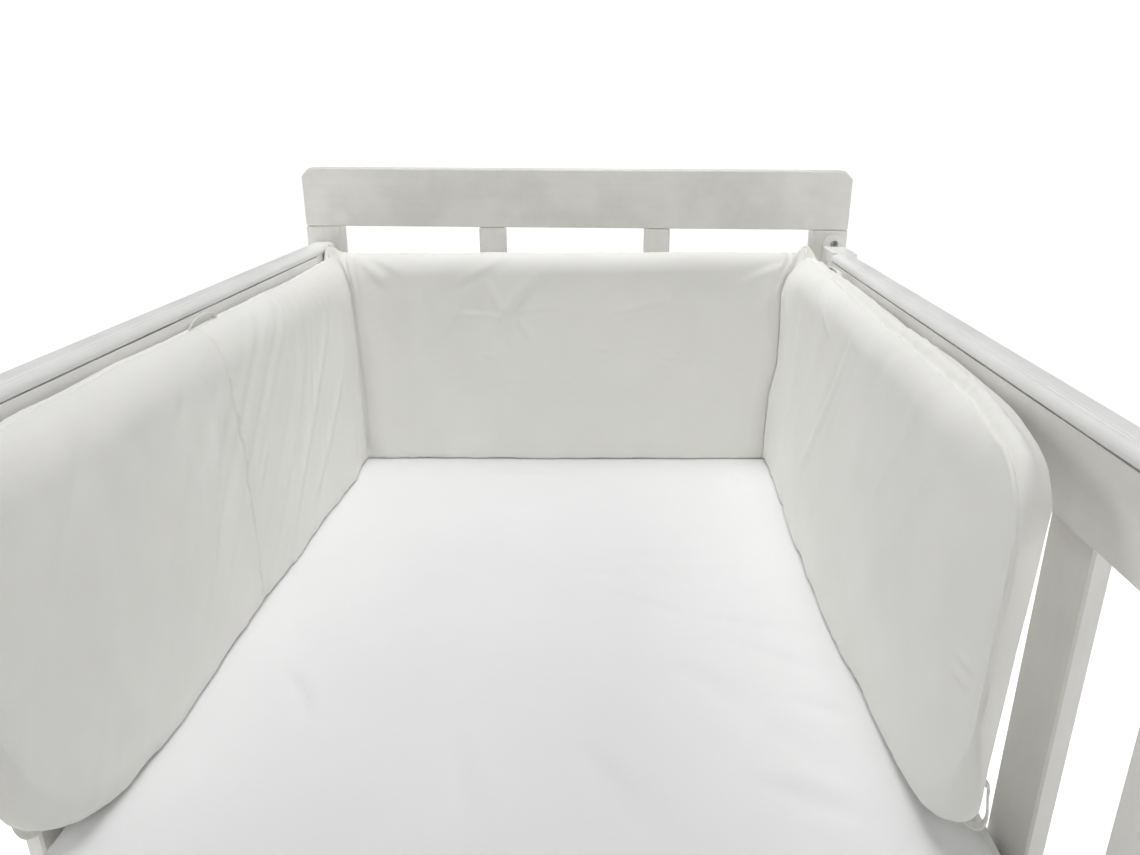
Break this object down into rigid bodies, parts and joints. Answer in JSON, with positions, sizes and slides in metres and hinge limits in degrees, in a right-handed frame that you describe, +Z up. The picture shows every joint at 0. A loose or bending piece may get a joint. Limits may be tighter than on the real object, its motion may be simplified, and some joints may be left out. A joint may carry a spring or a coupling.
{
  "type": "padded crib bumper on a slatted wooden crib with fitted sheet and mattress",
  "caption": "Padded cloth bumper standing round the head end of a slatted wooden crib, held by small tape loops, on a mattress with a fitted sheet.",
  "frame": {"origin": "on the floor, under the middle of the crib", "axes": "+Y toward the headboard that the bumper stands against, +Z up, +X toward the bumper's right-hand panel seen from the foot of the crib"},
  "size_m": [0.69, 1.28, 0.8914],
  "materials": {
    "cotton": "plain-woven white cotton over soft filling",
    "tape": "narrow white woven tape",
    "sheet_cotton": "smooth white stretched cotton",
    "ticking": "plain mattress ticking",
    "plywood": "bare plywood",
    "grey_paint": "satin grey paint, a little uneven",
    "pale_paint": "satin pale grey paint",
    "white_plastic": "moulded, slightly glossy"
  },
  "bodies": {
    "root": {"bumper": "cotton", "tie_loop_right_top": "tape", "tie_loop_left_top": "tape", "tie_loop_right_low": "tape", "tie_loop_left_low": "tape", "fitted_sheet": "sheet_cotton", "mattress": "ticking", "base_panel": "plywood", "base_side_left": "plywood", "base_side_right": "plywood", "headboard_top_rail": "grey_paint", "headboard_post_left": "grey_paint", "headboard_post_right": "grey_paint", "headboard_bottom_rail": "grey_paint", "headboard_mid_rail": "grey_paint", "headboard_upright_left": "grey_paint", "headboard_upright_right": "grey_paint", "headboard_slat_1": "grey_paint", "headboard_slat_2": "grey_paint", "headboard_slat_3": "grey_paint", "headboard_slat_4": "grey_paint", "headboard_slat_5": "grey_paint", "footboard_top_rail": "grey_paint", "footboard_post_left": "grey_paint", "footboard_post_right": "grey_paint", "footboard_bottom_rail": "grey_paint", "footboard_slat_1": "grey_paint", "footboard_slat_2": "grey_paint", "footboard_slat_3": "grey_paint", "footboard_slat_4": "grey_paint", "footboard_slat_5": "grey_paint", "left_side_cap": "pale_paint", "left_side_top_board": "pale_paint", "left_side_bottom_rail": "pale_paint", "left_side_head_block": "pale_paint", "left_side_slat_1": "pale_paint", "left_side_slat_2": "pale_paint", "left_side_slat_3": "pale_paint", "left_side_slat_4": "pale_paint", "left_side_slat_5": "pale_paint", "left_side_slat_6": "pale_paint", "left_side_slat_7": "pale_paint", "left_side_slat_8": "pale_paint", "left_side_slat_9": "pale_paint", "left_side_slat_10": "pale_paint", "right_side_cap": "pale_paint", "right_side_top_board": "pale_paint", "right_side_bottom_rail": "pale_paint", "right_side_slat_1": "pale_paint", "right_side_slat_2": "pale_paint", "right_side_slat_3": "pale_paint", "right_side_slat_4": "pale_paint", "right_side_slat_5": "pale_paint", "right_side_slat_6": "pale_paint", "right_side_slat_7": "pale_paint", "right_side_slat_8": "pale_paint", "right_side_slat_9": "pale_paint", "right_side_slat_10": "pale_paint", "rail_bracket_head": "white_plastic", "rail_bracket_foot": "white_plastic"}
  },
  "joints": []
}
